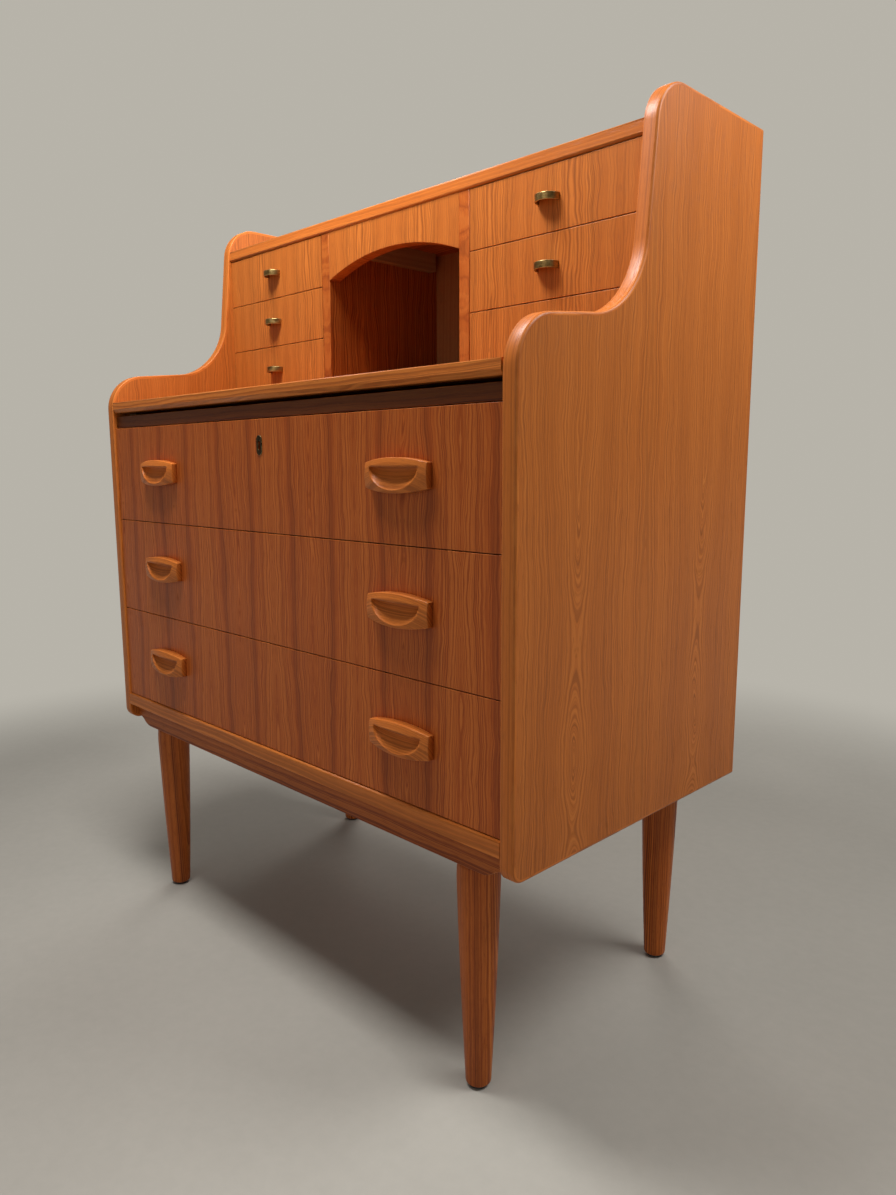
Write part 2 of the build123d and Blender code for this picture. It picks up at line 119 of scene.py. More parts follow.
def outline_face(corners, place, radii=()):
    """A flat face, its corners rounded by radii. place turns a corner's two numbers into a point."""
    shape = fresh()
    verts = [shape.verts.new(place(*corner)) for corner in corners]
    shape.faces.new(verts)
    turns = []
    for index, vert in enumerate(verts):
        back = (verts[index - 1].co - vert.co).normalized()
        ahead = (verts[(index + 1) % len(verts)].co - vert.co).normalized()
        turns.append(math.pi - back.angle(ahead))
    for vert, turn, radius in zip(verts, turns, radii):
        if radius > 0:
            bmesh.ops.bevel(
                shape,
                geom=[vert],
                offset=radius * math.tan(turn / 2),
                offset_type="OFFSET",
                segments=max(3, round(turn / math.radians(5))),
                profile=0.5,
                affect="VERTICES",
                clamp_overlap=False,
                material=-1,
            )
    return shape


def thicken(shape, step):
    """Pull every face of a flat shape along a step, into a solid."""
    made = bmesh.ops.extrude_face_region(shape, geom=shape.faces[:], use_keep_orig=True)
    moved = [item for item in made["geom"] if isinstance(item, bmesh.types.BMVert)]
    bmesh.ops.translate(shape, vec=Vector(step), verts=moved)
    bmesh.ops.recalc_face_normals(shape, faces=shape.faces)


def inset_corners(corners, margins):
    """Corners of an outline moved inwards, each edge by its own margin; edge i starts at corner i."""
    moved = []
    area = sum(a[0] * b[1] - b[0] * a[1] for a, b in zip(corners, corners[1:] + corners[:1]))
    side = 1 if area > 0 else -1
    for index, corner in enumerate(corners):
        here = Vector(corner)
        back = (here - Vector(corners[index - 1])).normalized()
        ahead = (Vector(corners[(index + 1) % len(corners)]) - here).normalized()
        first = Vector((-back.y, back.x)) * side
        second = Vector((-ahead.y, ahead.x)) * side
        turn = first.x * second.y - first.y * second.x
        a, b = margins[index - 1], margins[index]
        shift = Vector((a * second.y - b * first.y, b * first.x - a * second.x)) / turn
        moved.append(tuple(here + shift))
    return moved


def join(shape, other):
    """Add another shape's mesh to a shape."""
    mesh = bpy.data.meshes.new("joined")
    other.to_mesh(mesh)
    other.free()
    shape.from_mesh(mesh)
    bpy.data.meshes.remove(mesh)


def piece(name, shape, finish, body, stands_for=()):
    """Finish a shape as a piece of the desk that moves with a body."""
    mesh = bpy.data.meshes.new(name)
    shape.to_mesh(mesh)
    shape.free()
    mesh.materials.append(finish)
    made = bpy.data.objects.new(name, mesh)
    bpy.context.scene.collection.objects.link(made)
    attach(made, body)
    if stands_for:
        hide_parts(*stands_for)
    return made


# ---- finishes -----------------------------------------------------------------------------------------


class Value:
    """A number or colour on its way through a finish; arithmetic on it adds its sums to the finish."""

    def __init__(self, finish, socket):
        self.finish = finish
        self.socket = socket

    def __add__(self, other):
        return self.finish.maths("ADD", self, other)

    def __radd__(self, other):
        return self.finish.maths("ADD", other, self)

    def __sub__(self, other):
        return self.finish.maths("SUBTRACT", self, other)

    def __rsub__(self, other):
        return self.finish.maths("SUBTRACT", other, self)

    def __mul__(self, other):
        return self.finish.maths("MULTIPLY", self, other)

    def __rmul__(self, other):
        return self.finish.maths("MULTIPLY", other, self)

    def __truediv__(self, other):
        return self.finish.maths("DIVIDE", self, other)

    def __rtruediv__(self, other):
        return self.finish.maths("DIVIDE", other, self)

    def __pow__(self, other):
        return self.finish.maths("POWER", self, other)

    def __rpow__(self, other):
        return self.finish.maths("POWER", other, self)

    def __abs__(self):
        return self.finish.maths("ABSOLUTE", self)


class Finish:
    """The nodes of a material, or of the room's light."""

    def __init__(self, owner):
        owner.use_nodes = True
        self.owner = owner
        self.tree = owner.node_tree
        self.tree.nodes.clear()

    def node(self, kind, settings=None, inputs=(), output=0):
        """Add a node, with its settings first and then its sockets' values or links."""
        made = self.tree.nodes.new(kind)
        for key, value in (settings or {}).items():
            if key == "stops":
                self.set_stops(made.color_ramp, value)
            else:
                setattr(made, key, value)
        pairs = inputs.items() if isinstance(inputs, dict) else enumerate(inputs)
        for key, value in pairs:
            socket = made.inputs[key]
            if isinstance(value, Value):
                self.tree.links.new(value.socket, socket)
            else:
                socket.default_value = (*value, 1.0) if socket.type == "RGBA" else value
        return Value(self, made.outputs[output]) if made.outputs else None

    def maths(self, operation, *values):
        return self.node("ShaderNodeMath", {"operation": operation}, values)

    def set_stops(self, ramp, stops):
        while len(ramp.elements) < len(stops):
            ramp.elements.new(0.5)
        for element, (place, colour) in zip(ramp.elements, stops):
            element.position = place
            element.color = (*colour, 1.0)

    def place(self):
        """The point on the piece, as three numbers."""
        point = self.node("ShaderNodeTexCoord", output="Object")
        parts = self.node("ShaderNodeSeparateXYZ", inputs=[point]).socket.node
        return [Value(self, socket) for socket in parts.outputs]

    def vector(self, x, y, z=0.0):
        return self.node("ShaderNodeCombineXYZ", inputs=[x, y, z])

    def noise(self, vector, detail=2.0, roughness=0.5):
        """Soft noise about 0.5 at a vector."""
        inputs = {"Vector": vector, "Scale": 1.0, "Detail": detail, "Roughness": roughness}
        return self.node("ShaderNodeTexNoise", {"noise_dimensions": "3D"}, inputs)

    def streaks(self, value, detail=1.0, roughness=0.5):
        """Noise that varies along one number only."""
        inputs = {"W": value, "Scale": 1.0, "Detail": detail, "Roughness": roughness}
        return self.node("ShaderNodeTexNoise", {"noise_dimensions": "1D"}, inputs)

    def step(self, value, low, high, start=0.0, end=1.0):
        """A smooth step from start to end while the value goes from low to high."""
        settings = {"interpolation_type": "SMOOTHSTEP"}
        return self.node("ShaderNodeMapRange", settings, [value, low, high, start, end])

    def ramp(self, value, stops):
        return self.node("ShaderNodeValToRGB", {"stops": stops}, [value])

    def blend(self, factor, first, second, mode="MIX"):
        """Mix two colours."""
        settings = {"data_type": "RGBA", "blend_type": mode}
        return self.node("ShaderNodeMix", settings, {0: factor, 6: first, 7: second}, output=2)

    def tint(self, value):
        """A grey colour from a number, to multiply a colour with."""
        return self.vector(value, value, value)

    def stored(self, name):
        """A number stored on the piece's mesh, such as arris, which is 1 on rounded edges."""
        return self.node("ShaderNodeAttribute", {"attribute_name": name}, output="Fac")

    def shade(self, colour, roughness, height=None, depth=0.0001, **constants):
        """Finish the material with its one shader."""
        inputs = {"Base Color": colour, "Roughness": roughness, **constants}
        if height is not None:
            bump = {"Height": height, "Distance": depth, "Strength": 1.0}
            inputs["Normal"] = self.node("ShaderNodeBump", inputs=bump)
        shader = self.node("ShaderNodeBsdfPrincipled", inputs=inputs)
        self.node("ShaderNodeOutputMaterial", inputs=[shader])
        return self.owner


BACKDROP = (0.475, 0.452, 0.398)  # pale wall and far floor
TEAK_DARK = (0.130, 0.0250, 0.0055)
TEAK_DEEP = (0.290, 0.0580, 0.0095)
TEAK_MID = (0.440, 0.1040, 0.0155)
TEAK_LIGHT = (0.570, 0.1650, 0.0300)
RUBBED_TEAK = (0.600, 0.2000, 0.0420)
GOLDEN = (0.520, 0.1780, 0.0310)  # tints blended into some of the teaks
RUSSET = (0.400, 0.0740, 0.0110)
# painted shade: dark brown blended into the rail under the leaf, standing in for the shadow of the leaf's
# overhang
RAIL_PAINTED_SHADE = (0.060, 0.0180, 0.0070)
VENEER_SHEEN = {"Specular IOR Level": 0.18, "Coat Weight": 0.03, "Coat Roughness": 0.30}
SOLID_SHEEN = {"Specular IOR Level": 0.18, "Coat Weight": 0.03, "Coat Roughness": 0.32}
GRAIN_DEPTH = 0.00006


def teak_layers(finish, rings, along, depth, seed, contrast, glow, overtone):
    """Colour, roughness and relief of oiled teak, by the place across its rings and along its grain."""
    drift = finish.noise(finish.vector(rings * 7.0 + seed, along * 1.2, depth * 7.0), detail=2.0)
    tremor = finish.noise(finish.vector(rings * 30.0, along * 8.0 + seed, depth * 30.0), detail=2.0)
    line = rings + (drift - 0.5) * 0.020 + (tremor - 0.5) * 0.0042  # rings that wander a little
    slow = finish.streaks(line * 13.0 + seed, detail=1.0)
    spaced = line + (slow - 0.5) * 0.030
    # broad bands, single growth rings and the thin lines between them
    band = finish.streaks(spaced * 34.0 + seed, detail=2.0, roughness=0.6)
    rows = finish.streaks(spaced * 470.0 + seed, detail=2.0, roughness=0.6)
    fine = finish.streaks(spaced * 1500.0 + seed, detail=1.0)
    busy = finish.step(finish.streaks(spaced * 24.0 - seed, detail=1.0), 0.38, 0.60, 0.35, 1.0)
    mottle = finish.noise(finish.vector(rings * 22.0, along * 4.0, depth * 22.0 + seed), detail=3.0)
    fibre = finish.noise(finish.vector(rings * 700.0, along * 22.0, depth * 700.0), detail=2.0)
    ridge = finish.step(rows, 0.40, 0.60)
    tone = (band - 0.5) * 0.36 + (0.5 - ridge) * 0.38 * busy + (fine - 0.5) * 0.34
    tone = tone + (mottle - 0.5) * 0.25 + (fibre - 0.5) * 0.35
    tone = tone * contrast + 0.52
    colour = finish.ramp(tone, [(0.20, TEAK_DARK), (0.38, TEAK_DEEP), (0.53, TEAK_MID), (0.74, TEAK_LIGHT)])
    # dark late wood, a few darker veins, and open pores
    late = finish.step(rows, 0.57, 0.64) * busy
    colour = finish.blend(late * (0.42 * contrast), colour, TEAK_DARK)
    vein = finish.step(abs(finish.streaks(spaced * 41.0 + seed * 2.0, detail=1.0) - 0.5), 0.009, 0.0)
    colour = finish.blend(vein * (0.45 * contrast), colour, TEAK_DARK)
    dashes = finish.noise(finish.vector(rings * 1500.0, along * 70.0, depth * 1500.0), detail=1.0)
    pores = finish.step(dashes, 0.58, 0.72)
    colour = finish.blend(pores * 0.40, colour, TEAK_DARK)
    cloud = finish.noise(finish.vector(rings * 3.0, along * 2.2 + seed, depth * 3.0), detail=1.0)
    # cloudy brightness scaled by glow; the low glow of the rail under the leaf is painted shade
    shade = finish.step(cloud, 0.25, 0.75, 0.88 * glow, 1.12 * glow)
    colour = finish.blend(1.0, colour, finish.tint(shade), "MULTIPLY")
    # a colour blended into the wood; on the rail under the leaf it is painted shade
    if overtone:
        colour = finish.blend(0.35, colour, overtone)
    roughness = 0.38 + pores * 0.16 + (mottle - 0.5) * 0.16 + late * 0.05
    relief = tone * 0.5 - pores * 0.8 - late * 0.25
    return colour, roughness, relief


def rubbed(finish, colour, roughness, rings, along, depth, share=0.30, worn=None):
    """Edges rubbed paler and duller by hands and cloths, in patches."""
    if worn is None:
        worn = finish.stored("arris")
    patch = finish.noise(finish.vector(rings * 60.0, along * 35.0, depth * 60.0), detail=3.0)
    wear = worn * finish.step(patch, 0.40, 0.62) * share
    return finish.blend(wear, colour, RUBBED_TEAK), roughness + wear * 0.15


def veneer(name, axis, leaf, seam, figure, seed, contrast, glow, overtone=None, joints=None):
    """Book-matched teak veneer with upright grain. axis is 0 on faces seen from the front and 1 on the sides.

    leaf is the width of one leaf and seam the place of a joint; figure is the level, half width, rise and
    fall of the pointed figure in the middle of each leaf. joints is the level of the gap under the lowest
    drawer front and the distance from one gap to the next.
    """
    finish = Finish(bpy.data.materials.new(name))
    point = finish.place()
    across, along, depth = point[axis], point[2], point[1 - axis]
    level, half, rise, fall = figure
    folded = finish.maths("PINGPONG", across - seam, leaf)
    bend = finish.noise(finish.vector(across * 15.0 - seed, along * 8.0, 0.0), detail=3.0, roughness=0.6)
    offset = folded - leaf / 2 + (bend - 0.5) * 0.024
    sway = finish.noise(finish.vector(across * 3.0 + seed, along * 2.0, 0.0), detail=1.0)
    ripple = finish.noise(finish.vector(across * 16.0, along * 9.0 + seed, 0.0), detail=3.0)
    climb = along - level + (sway - 0.5) * 0.10 + (ripple - 0.5) * 0.07
    reach = finish.maths("MAXIMUM", climb, 0.0) / rise - finish.maths("MINIMUM", climb, 0.0) / fall
    fading = finish.step(reach, 1.2, 3.4, 1.0, 0.0)
    spread = finish.maths("TANH", reach) * fading * half
    rings = (offset * offset + spread * spread) ** 0.5 + (sway - 0.5) * 0.004
    colour, roughness, relief = teak_layers(finish, rings, along, depth, seed, contrast, glow, overtone)
    worn = finish.stored("arris")
    if joints:
        gap = finish.maths("PINGPONG", along - joints[0], joints[1] / 2)
        worn = finish.step(gap, 0.0019, 0.0008)
    colour, roughness = rubbed(finish, colour, roughness, across, along, depth, 0.25, worn)
    return finish.shade(colour, roughness, relief, GRAIN_DEPTH, **VENEER_SHEEN)


def solid_teak(name, axis, seed, contrast=0.9, glow=1.0, overtone=None, tilt=0.6):
    """Oiled solid teak with its grain along one axis; its growth rings lie at a slant through the wood."""
    finish = Finish(bpy.data.materials.new(name))
    point = finish.place()
    along = point[axis]
    others = [point[index] for index in range(3) if index != axis]
    rings = others[0] * math.cos(tilt) + others[1] * math.sin(tilt)
    depth = others[1] * math.cos(tilt) - others[0] * math.sin(tilt)
    colour, roughness, relief = teak_layers(finish, rings, along, depth, seed, contrast, glow, overtone)
    colour, roughness = rubbed(finish, colour, roughness, rings, along, depth)
    return finish.shade(colour, roughness, relief, GRAIN_DEPTH, **SOLID_SHEEN)


def bent_teak(name, seed, contrast, glow, overtone):
    """Solid teak whose grain follows a curved band, by the distance stored along it."""
    finish = Finish(bpy.data.materials.new(name))
    x = finish.place()[0]
    along = finish.stored("run")
    colour, roughness, relief = teak_layers(finish, x, along, 0.0, seed, contrast, glow, overtone)
    colour, roughness = rubbed(finish, colour, roughness, x, along, 0.0)
    return finish.shade(colour, roughness, relief, GRAIN_DEPTH, **SOLID_SHEEN)


def plain_wood(name, axis, seed, dark, light, roughness=0.55):
    """Pale or stained wood of the parts that don't show when the desk is shut."""
    finish = Finish(bpy.data.materials.new(name))
    point = finish.place()
    along = point[axis]
    others = [point[index] for index in range(3) if index != axis]
    rings = others[0] * 0.75 + others[1] * 0.66
    drift = finish.noise(finish.vector(rings * 9.0 + seed, along * 1.6, 0.0), detail=2.0)
    line = rings + (drift - 0.5) * 0.02
    rows = finish.streaks(line * 230.0 + seed, detail=2.0, roughness=0.6)
    dashes = finish.noise(finish.vector(others[0] * 1100.0, others[1] * 1100.0, along * 90.0), detail=1.0)
    pores = finish.step(dashes, 0.60, 0.72)
    mottle = finish.noise(finish.vector(rings * 14.0, along * 5.0, seed), detail=3.0)
    tone = rows * 0.5 + mottle * 0.5
    colour = finish.ramp(tone, [(0.30, dark), (0.68, light)])
    colour = finish.blend(pores * 0.35, colour, tuple(0.5 * part for part in dark))
    wear = finish.stored("arris") * 0.25
    colour = finish.blend(wear, colour, light)
    gloss = roughness + (mottle - 0.5) * 0.18 + pores * 0.1
    return finish.shade(colour, gloss, rows * 0.4 - pores * 0.6, 0.00008, **{"Specular IOR Level": 0.20})


def aged_brass(name):
    """Brass gone brown, rubbed bright where it is touched, with fine lines from its turning."""
    finish = Finish(bpy.data.materials.new(name))
    x, y, z = finish.place()
    cloud = finish.noise(finish.vector(x * 120.0, y * 120.0, z * 160.0), detail=4.0, roughness=0.6)
    lines = finish.noise(finish.vector(x * 30.0, y * 30.0, z * 3200.0), detail=1.0)
    spots = finish.step(finish.noise(finish.vector(x * 700.0, y * 700.0, z * 700.0), detail=2.0), 0.56, 0.70)
    tone = cloud * 0.7 + lines * 0.3
    stops = [(0.34, (0.17, 0.090, 0.030)), (0.52, (0.40, 0.250, 0.085)), (0.72, (0.64, 0.46, 0.20))]
    colour = finish.ramp(tone, stops)
    colour = finish.blend(spots * 0.35, colour, (0.08, 0.045, 0.020))
    colour = finish.blend(finish.stored("arris") * 0.5, colour, (0.74, 0.55, 0.25))
    roughness = 0.34 + spots * 0.20 + (cloud - 0.5) * 0.25
    return finish.shade(colour, roughness, lines * 0.5 - spots * 0.3, 0.00002, Metallic=1.0)


def dark_brass(name):
    """Brass gone nearly black, bright only along its edges."""
    finish = Finish(bpy.data.materials.new(name))
    x, y, z = finish.place()
    cloud = finish.noise(finish.vector(x * 500.0, y * 500.0, z * 500.0), detail=4.0, roughness=0.6)
    stops = [(0.35, (0.030, 0.018, 0.008)), (0.60, (0.090, 0.054, 0.022)), (0.78, (0.24, 0.15, 0.060))]
    colour = finish.ramp(cloud, stops)
    patch = finish.step(finish.noise(finish.vector(x * 260.0, y * 260.0, z * 260.0), detail=2.0), 0.42, 0.62)
    worn = finish.stored("arris") * patch
    colour = finish.blend(worn * 0.7, colour, (0.62, 0.44, 0.20))
    roughness = 0.45 - worn * 0.15 + (cloud - 0.5) * 0.3
    return finish.shade(colour, roughness, cloud, 0.00005, Metallic=1.0)


def dull_steel(name):
    """Zinc-grey steel with fine scratches."""
    finish = Finish(bpy.data.materials.new(name))
    x, y, z = finish.place()
    cloud = finish.noise(finish.vector(x * 90.0, y * 90.0, z * 90.0), detail=4.0)
    lines = finish.noise(finish.vector(x * 2500.0, y * 200.0, z * 200.0), detail=1.0)
    colour = finish.ramp(cloud, [(0.30, (0.22, 0.21, 0.19)), (0.70, (0.50, 0.49, 0.46))])
    roughness = 0.34 + (lines - 0.5) * 0.25 + (cloud - 0.5) * 0.2
    return finish.shade(colour, roughness, lines, 0.00003, Metallic=1.0)


def hard_glide(name):
    """Dark hard rubber, scuffed by the floor."""
    finish = Finish(bpy.data.materials.new(name))
    x, y, z = finish.place()
    scuff = finish.noise(finish.vector(x * 400.0, y * 400.0, z * 400.0), detail=4.0)
    colour = finish.ramp(scuff, [(0.35, (0.012, 0.011, 0.010)), (0.70, (0.060, 0.055, 0.050))])
    return finish.shade(colour, 0.55 + (scuff - 0.5) * 0.3, scuff, 0.00008)


def studio_floor(name):
    """Plain pale floor with the faintest cloudiness; far from the desk it turns black and glows with the
    backdrop's colour.
    """
    finish = Finish(bpy.data.materials.new(name))
    x, y = finish.place()[:2]
    cloud = finish.noise(finish.vector(x * 1.4, y * 1.4, 0.0), detail=4.0, roughness=0.55)
    grain = finish.noise(finish.vector(x * 60.0, y * 60.0, 0.0), detail=3.0, roughness=0.6)
    tone = cloud * 0.75 + grain * 0.25
    colour = finish.ramp(tone, [(0.30, (0.41, 0.388, 0.343)), (0.70, (0.48, 0.455, 0.402))])
    far = finish.step((x * x + y * y) ** 0.5, 1.05, 1.75)
    colour = finish.blend(far, colour, (0.0, 0.0, 0.0))
    glow = finish.blend(far, (0.0, 0.0, 0.0), BACKDROP)
    constants = {"Emission Color": glow, "Emission Strength": 1.0, "Specular IOR Level": 0.0}
    return finish.shade(colour, 0.62 + (cloud - 0.5) * 0.15, **constants)


LONG_JOINTS = (0.3075, 0.136)  # level of the gap under the lowest front, and from one gap to the next
SMALL_JOINTS = (0.7715, 0.07133)
side_veneer = veneer("teak_side_veneer", 1, 0.235, 0.0, (0.375, 0.020, 0.085, 0.045), 3.7, 0.75, 1.0, GOLDEN)
front_veneer = veneer(
    "teak_front_veneer", 0, 0.158, 0.019, (0.40, 0.008, 0.16, 0.12), 11.3, 1.15, 1.04, RUSSET, LONG_JOINTS
)
hutch_veneer = veneer(
    "teak_hutch_veneer", 0, 0.120, 0.0, (0.70, 0.006, 0.20, 0.20), 23.9, 0.95, 1.0, GOLDEN, SMALL_JOINTS
)
niche_veneer = veneer("teak_niche_veneer", 1, 0.120, 0.0, (0.70, 0.006, 0.20, 0.20), 29.3, 0.7, 0.9)
board_teak = solid_teak("teak_board", 0, 31.1, tilt=1.2)
edge_teak = solid_teak("teak_edge_lengthwise", 0, 5.2, contrast=0.8, glow=1.2, overtone=GOLDEN)
rail_teak = solid_teak("teak_rail", 0, 8.8, contrast=0.8, glow=0.85)
# painted shade: this rail's colour is darkened to about a third and browned, standing in for the shadow cast
# by the leaf's overhang
rail_teak_painted_shade = solid_teak("teak_rail_painted_shade", 0, 9.9, contrast=0.9, glow=0.32, overtone=RAIL_PAINTED_SHADE)
band_teak = bent_teak("teak_side_band", 14.6, 0.75, 1.2, GOLDEN)
leg_teak = solid_teak("teak_leg", 2, 19.4, contrast=0.85, glow=1.05)
pull_teak = solid_teak("teak_pull", 0, 27.5, contrast=0.55, glow=1.3, overtone=GOLDEN)
pale_wood = plain_wood("drawer_beech", 1, 41.0, (0.36, 0.21, 0.10), (0.56, 0.38, 0.205))
inner_wood = plain_wood("inner_hardwood", 1, 44.0, (0.26, 0.14, 0.065), (0.42, 0.26, 0.13))
back_wood = plain_wood("back_plywood", 2, 47.0, (0.26, 0.092, 0.028), (0.42, 0.170, 0.054), 0.62)
brass = aged_brass("aged_brass")
old_brass = dark_brass("blackened_brass")
steel = dull_steel("dull_steel")
glide_finish = hard_glide("hard_glide")
floor_finish = studio_floor("pale_floor")


def paint(node, finish):
    """Give a CAD node its finish."""
    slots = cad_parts[node].data.materials
    slots.clear()
    slots.append(finish)


# ---- sides --------------------------------------------------------------------------------------------


def side_corners():
    """Corners of a side panel's outline as depth and height."""
    waist = FRONT + SETBACK
    return [
        (REAR, PANEL_FOOT),
        (FRONT, PANEL_FOOT),
        (FRONT, SHOULDER),
        (waist, SHOULDER + SHOULDER_RISE),
        (waist + LEAN, PANEL_TOP),
        (REAR, PANEL_TOP),
    ]


def side_panels():
    """Veneered panels, each with a solid rounded band along its edges."""
    tail = 0.02  # the band's outline runs on past the rear edge and is cut off there
    radii = [0.0, FOOT_ROUND, SHOULDER_ROUND, WAIST_ROUND, CROWN_ROUND, 0.0]
    outer = side_corners()
    outer[0] = (REAR + tail, PANEL_FOOT)
    outer[-1] = (REAR + tail, PANEL_TOP)
    inner = inset_corners(outer, [EDGE_BAND] * 5 + [0.0])
    narrower = [0.0, -EDGE_BAND, -EDGE_BAND, EDGE_BAND, -EDGE_BAND, 0.0]
    inner_radii = [radius + change for radius, change in zip(radii, narrower)]
    foot, top = BACK_PANEL[0].z, BACK_PANEL[1].z
    for hand, sign in HANDS.items():
        core = outline_face(inner, lambda y, z: (sign * REBATE, y, z), inner_radii)
        cut_off(core, (0, REAR, 0), (0, 1, 0))
        thicken(core, (sign * (OUTER - REBATE), 0, 0))
        lining = outline_face(inner, lambda y, z: (sign * INNER, y, z), inner_radii)
        cut_off(lining, (0, REAR, 0), (0, 1, 0))
        for level in (foot, top):
            cut_through(lining, (0, 0, level), (0, 0, 1))
        rear = [v for v in lining.verts if near(v.co.y, REAR) and foot - 1e-5 < v.co.z < top + 1e-5]
        bmesh.ops.translate(lining, vec=(0, BACK_FACE - REAR, 0), verts=rear)
        thicken(lining, (sign * (REBATE - INNER), 0, 0))
        join(core, lining)
        piece(f"side_core_{hand}", core, side_veneer, "carcase", [f"side_panel_{hand}"])
        side_band(hand, sign, outer, radii, inner, inner_radii)


def side_band(hand, sign, outer, radii, inner, inner_radii):
    """The solid band round the foot, front, shoulder and top of a side panel."""
    band = outline_face(outer, lambda y, z: (sign * INNER, y, z), radii)
    rim = band.verts.layers.float.new("rim")
    for vert in band.verts:
        vert[rim] = 1.0
    join(band, outline_face(inner, lambda y, z: (sign * INNER, y, z), inner_radii))
    bmesh.ops.delete(band, geom=band.faces[:], context="FACES_ONLY")
    bmesh.ops.bridge_loops(band, edges=band.edges[:])
    cut_off(band, (0, REAR, 0), (0, 1, 0))
    thicken(band, (sign * (OUTER - INNER), 0, 0))
    rim = band.verts.layers.float["rim"]
    for face in band.faces:
        face.smooth = abs(face.normal.x) < 0.5 and not all(near(v.co.y, REAR) for v in face.verts)

    def on_rim(edge, x):
        """True for an edge of the outer outline at one face of the panel."""
        ends = [vert for vert in edge.verts if near(vert.co.x, x) and vert[rim] > 0.9]
        return len(ends) == 2 and any(face.smooth for face in edge.link_faces)

    soften(band, [edge for edge in band.edges if on_rim(edge, sign * OUTER)], 0.0030, 4)
    rim = band.verts.layers.float["rim"]
    soften(band, [edge for edge in band.edges if on_rim(edge, sign * INNER)], 0.0014, 3)
    measure_run(band, outer, radii)
    piece(f"side_band_{hand}", band, band_teak, "carcase")


def measure_run(band, corners, radii):
    """Store on every point of a band how far along the outline it lies, for its grain to follow."""
    guide = outline_face(corners, lambda y, z: (0, y, z), radii)
    edge_loop = guide.faces[:][0].loops
    path = [loop.vert.co.copy() for loop in edge_loop]
    guide.free()
    run = band.verts.layers.float.new("run")
    for vert in band.verts:
        here = Vector((0, vert.co.y, vert.co.z))
        travelled, best, nearest = 0.0, 0.0, math.inf
        for start, end in zip(path, path[1:] + path[:1]):
            span = end - start
            share = min(1.0, max(0.0, (here - start).dot(span) / span.length_squared))
            gap = (here - start - span * share).length
            if gap < nearest:
                nearest = gap
                best = travelled + share * span.length
            travelled += span.length
        vert[run] = best


def cut_off(shape, point, normal):
    """Cut away what lies beyond a plane, and leave the cut open."""
    whole = shape.verts[:] + shape.edges[:] + shape.faces[:]
    bmesh.ops.bisect_plane(shape, geom=whole, plane_co=point, plane_no=normal, clear_outer=True)


def cut_through(shape, point, normal):
    """Cut along a plane and keep both halves."""
    whole = shape.verts[:] + shape.edges[:] + shape.faces[:]
    bmesh.ops.bisect_plane(shape, geom=whole, plane_co=point, plane_no=normal)


# ---- boards and edges ---------------------------------------------------------------------------------


def soften_front(shape, node, upper, lower):
    """Round the upper and lower front edges of a straight length of wood, each by its own width."""
    low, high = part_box(node)
    for level, width in ((high.z, upper), (low.z, lower)):
        soften(shape, edges_where(shape, lambda p: near(p.y, low.y) and near(p.z, level)), width, 4)


def nosing(name, node, upper, lower):
    """Solid front edge of a board."""
    shape = block_of(node)
    soften_front(shape, node, upper, lower)
    piece(name, shape, edge_teak, "carcase", [node])


def recessed_rail():
    """Rail under the leaf, darkened with painted shade from the leaf's overhang, with a mortise in its
    underside for the lock's bolt.
    """
    shape = block_of("leaf_support_rail")
    soften_front(shape, "leaf_support_rail", 0.0010, 0.0008)
    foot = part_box("leaf_support_rail")[0].z
    bolt_low, bolt_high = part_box("lock_bolt")
    play, mortise = 0.0004, 0.0085
    for x in (bolt_low.x - play, bolt_high.x + play):
        cut_through(shape, (x, 0, 0), (1, 0, 0))
    for y in (bolt_low.y - play, bolt_high.y + play):
        cut_through(shape, (0, y, 0), (0, 1, 0))
    middle = (bolt_low + bolt_high) / 2
    mouth = [face for face in shape.faces if near(face.calc_center_median().z, foot)]
    mouth = [face for face in mouth if (face.calc_center_median() - middle).xy.length < play * 2]
    sink(shape, mouth, (0, 0, mortise))
    piece("recessed_rail", shape, rail_teak_painted_shade, "carcase", ["leaf_support_rail"])


def sink(shape, faces, step):
    """Press some faces of a solid inwards by a step."""
    made = bmesh.ops.extrude_face_region(shape, geom=faces)
    moved = [item for item in made["geom"] if isinstance(item, bmesh.types.BMVert)]
    bmesh.ops.translate(shape, vec=Vector(step), verts=moved)
    bmesh.ops.delete(shape, geom=[face for face in faces if face.is_valid], context="FACES")
    bmesh.ops.recalc_face_normals(shape, faces=shape.faces)


def leaf_nosing():
    """Front edge of the leaf: rounded above, with a finger bevel below."""
    bevel_depth, bevel_height, rounding = 0.0025, 0.005, 0.0016
    low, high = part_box("leaf_lipping")
    corners = [
        (low.y, high.z),
        (low.y, low.z + bevel_height),
        (low.y + bevel_depth, low.z),
        (high.y, low.z),
        (high.y, high.z),
    ]
    radii = [rounding, rounding / 2, rounding / 2, 0.0, 0.0]
    shape = outline_face(corners, lambda y, z: (low.x, y, z), radii)
    thicken(shape, (high.x - low.x, 0, 0))
    mark_curves(shape, 0)
    piece("leaf_nosing", shape, edge_teak, "writing_leaf", ["leaf_lipping"])


def mark_curves(shape, axis):
    """Smooth the narrow faces round an extruded outline and mark them as worn edges."""
    worn = shape.faces.layers.float["arris"]
    for face in shape.faces:
        if abs(face.normal[axis]) < 0.5:
            square = max(abs(part) for part in face.normal) > 0.9999
            face.smooth = not square
            face[worn] = 0.0 if square else 1.0


